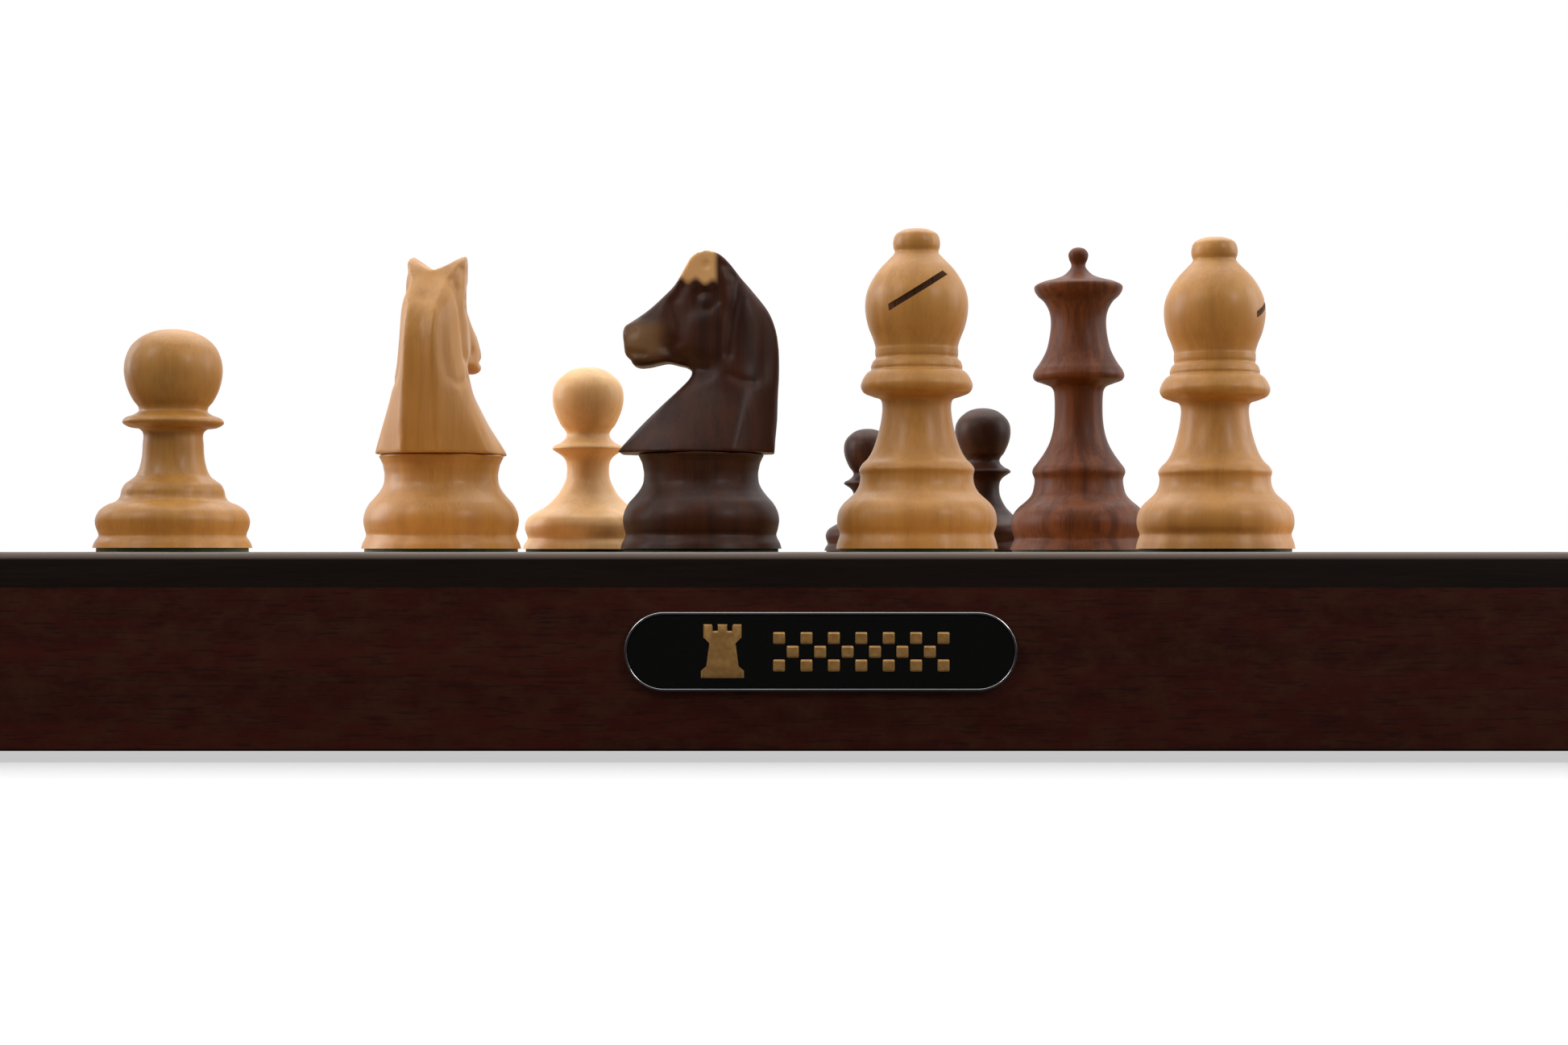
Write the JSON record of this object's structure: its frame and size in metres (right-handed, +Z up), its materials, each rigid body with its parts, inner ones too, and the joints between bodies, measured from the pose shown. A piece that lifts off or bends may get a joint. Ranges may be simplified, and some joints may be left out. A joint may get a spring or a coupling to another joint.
{
  "type": "electronic chess computer",
  "caption": "Wooden sensor chessboard in a mitred frame, with plug-in display, key and program modules in its rear rail and weighted wooden chess pieces standing on it.",
  "frame": {"origin": "middle of the board, in the plane of the soles of its rubber feet", "axes": "+Z up; -Y towards the front rail, which carries the badge; +Y towards the rear rail, which holds the modules; +X to the right as seen from the badge side"},
  "size_m": [0.46, 0.4624, 0.1305],
  "materials": {
    "stained_rail": "satin",
    "dark_panel": "satin",
    "light_veneer": "satin",
    "dark_veneer": "satin",
    "plain_wood": "matte",
    "fibreboard": "matte",
    "boxwood": "gloss",
    "dark_boxwood": "gloss",
    "black_case": "matte",
    "gloss_black": "gloss",
    "bright_rim": "polished",
    "gilt": "polished",
    "grey_keys": "matte",
    "switch_knob": "matte",
    "circuit_board": "semi-gloss",
    "red_lamp": "gloss",
    "reed_glass": "gloss",
    "white_plastic": "matte",
    "brass_screw": "satin",
    "rubber": "matte",
    "key_rubber": "matte",
    "ribbon": "matte",
    "green_felt": "matte",
    "pale_ink": "matte",
    "lcd_segment": "satin",
    "cell_sleeve": "gloss",
    "spring_steel": "satin",
    "clear_window": "gloss",
    "lcd_glass": "gloss"
  },
  "bodies": {
    "frame": {"rail_front": "stained_rail", "rail_left": "stained_rail", "rail_right": "stained_rail", "rail_rear": "stained_rail", "corner_blocks": "plain_wood", "top_panel": "dark_panel", "light_squares": "light_veneer", "dark_squares": "dark_veneer", "square_leds": "red_lamp", "sensor_board": "circuit_board", "reed_switches": "reed_glass", "board_spacers": "white_plastic", "bottom_cover": "fibreboard", "screws": "brass_screw", "rubber_feet": "rubber", "badge_plate": "gloss_black", "badge_rim": "bright_rim", "badge_emblem": "gilt", "bay_guides": "black_case", "backplane_board": "circuit_board", "ribbon_cable": "ribbon", "sounder": "black_case", "power_socket": "black_case", "switch_housing": "black_case", "battery_box": "black_case", "battery_cells": "cell_sleeve", "battery_contacts": "spring_steel"},
    "battery_door": {"battery_door": "black_case"},
    "power_switch": {"power_switch": "switch_knob"},
    "display_module": {"display_case": "black_case", "display_lid": "black_case", "display_window": "clear_window", "display_panel": "lcd_glass", "display_board": "circuit_board"},
    "key_module": {"key_case": "black_case", "key_lid": "black_case", "key_mat": "key_rubber", "key_board": "circuit_board"},
    "program_module": {"program_case": "black_case", "program_lid": "black_case", "program_board": "circuit_board"},
    "key_1": {"key_1": "grey_keys"},
    "key_2": {"key_2": "grey_keys"},
    "key_3": {"key_3": "grey_keys"},
    "key_4": {"key_4": "grey_keys"},
    "key_5": {"key_5": "grey_keys"},
    "key_6": {"key_6": "grey_keys"},
    "key_7": {"key_7": "grey_keys"},
    "key_8": {"key_8": "grey_keys"},
    "light_pawn_front": {"light_pawn_front": "boxwood"},
    "light_pawn_rear": {"light_pawn_rear": "boxwood"},
    "light_knight": {"light_knight": "boxwood"},
    "light_bishop_left": {"light_bishop_left": "boxwood"},
    "light_bishop_right": {"light_bishop_right": "boxwood"},
    "light_king": {"light_king": "boxwood"},
    "dark_pawn_left": {"dark_pawn_left": "dark_boxwood"},
    "dark_pawn_right": {"dark_pawn_right": "dark_boxwood"},
    "dark_knight": {"dark_knight": "dark_boxwood"},
    "dark_queen": {"dark_queen": "dark_boxwood"},
    "dark_king": {"dark_king": "dark_boxwood"}
  },
  "joints": [
    {"name": "battery_door_slide", "type": "slide", "parent": "frame", "child": "battery_door", "axis": [0, 1, 0], "range_m": [0, 0.054]},
    {"name": "power_switch_slide", "type": "slide", "parent": "frame", "child": "power_switch", "axis": [1, 0, 0], "range_m": [0, 0.004]},
    {"name": "display_module_slide", "type": "slide", "parent": "frame", "child": "display_module", "axis": [0, 1, 0], "range_m": [0, 0.11]},
    {"name": "key_module_slide", "type": "slide", "parent": "frame", "child": "key_module", "axis": [0, 1, 0], "range_m": [0, 0.11]},
    {"name": "program_module_slide", "type": "slide", "parent": "frame", "child": "program_module", "axis": [0, 1, 0], "range_m": [0, 0.11]},
    {"name": "key_1_press", "type": "slide", "parent": "key_module", "child": "key_1", "axis": [0, -1, 0], "range_m": [0, 0.0012], "stiffness_N_per_m": 400},
    {"name": "key_2_press", "type": "slide", "parent": "key_module", "child": "key_2", "axis": [0, -1, 0], "range_m": [0, 0.0012], "stiffness_N_per_m": 400},
    {"name": "key_3_press", "type": "slide", "parent": "key_module", "child": "key_3", "axis": [0, -1, 0], "range_m": [0, 0.0012], "stiffness_N_per_m": 400},
    {"name": "key_4_press", "type": "slide", "parent": "key_module", "child": "key_4", "axis": [0, -1, 0], "range_m": [0, 0.0012], "stiffness_N_per_m": 400},
    {"name": "key_5_press", "type": "slide", "parent": "key_module", "child": "key_5", "axis": [0, -1, 0], "range_m": [0, 0.0012], "stiffness_N_per_m": 400},
    {"name": "key_6_press", "type": "slide", "parent": "key_module", "child": "key_6", "axis": [0, -1, 0], "range_m": [0, 0.0012], "stiffness_N_per_m": 400},
    {"name": "key_7_press", "type": "slide", "parent": "key_module", "child": "key_7", "axis": [0, -1, 0], "range_m": [0, 0.0012], "stiffness_N_per_m": 400},
    {"name": "key_8_press", "type": "slide", "parent": "key_module", "child": "key_8", "axis": [0, -1, 0], "range_m": [0, 0.0012], "stiffness_N_per_m": 400},
    {"name": "light_pawn_front_lift", "type": "slide", "parent": "frame", "child": "light_pawn_front", "axis": [0, 0, 1], "range_m": [0, 0.1]},
    {"name": "light_pawn_rear_lift", "type": "slide", "parent": "frame", "child": "light_pawn_rear", "axis": [0, 0, 1], "range_m": [0, 0.1]},
    {"name": "light_knight_lift", "type": "slide", "parent": "frame", "child": "light_knight", "axis": [0, 0, 1], "range_m": [0, 0.1]},
    {"name": "light_bishop_left_lift", "type": "slide", "parent": "frame", "child": "light_bishop_left", "axis": [0, 0, 1], "range_m": [0, 0.1]},
    {"name": "light_bishop_right_lift", "type": "slide", "parent": "frame", "child": "light_bishop_right", "axis": [0, 0, 1], "range_m": [0, 0.1]},
    {"name": "light_king_lift", "type": "slide", "parent": "frame", "child": "light_king", "axis": [0, 0, 1], "range_m": [0, 0.1]},
    {"name": "dark_pawn_left_lift", "type": "slide", "parent": "frame", "child": "dark_pawn_left", "axis": [0, 0, 1], "range_m": [0, 0.1]},
    {"name": "dark_pawn_right_lift", "type": "slide", "parent": "frame", "child": "dark_pawn_right", "axis": [0, 0, 1], "range_m": [0, 0.1]},
    {"name": "dark_knight_lift", "type": "slide", "parent": "frame", "child": "dark_knight", "axis": [0, 0, 1], "range_m": [0, 0.1]},
    {"name": "dark_queen_lift", "type": "slide", "parent": "frame", "child": "dark_queen", "axis": [0, 0, 1], "range_m": [0, 0.1]},
    {"name": "dark_king_lift", "type": "slide", "parent": "frame", "child": "dark_king", "axis": [0, 0, 1], "range_m": [0, 0.1]}
  ]
}
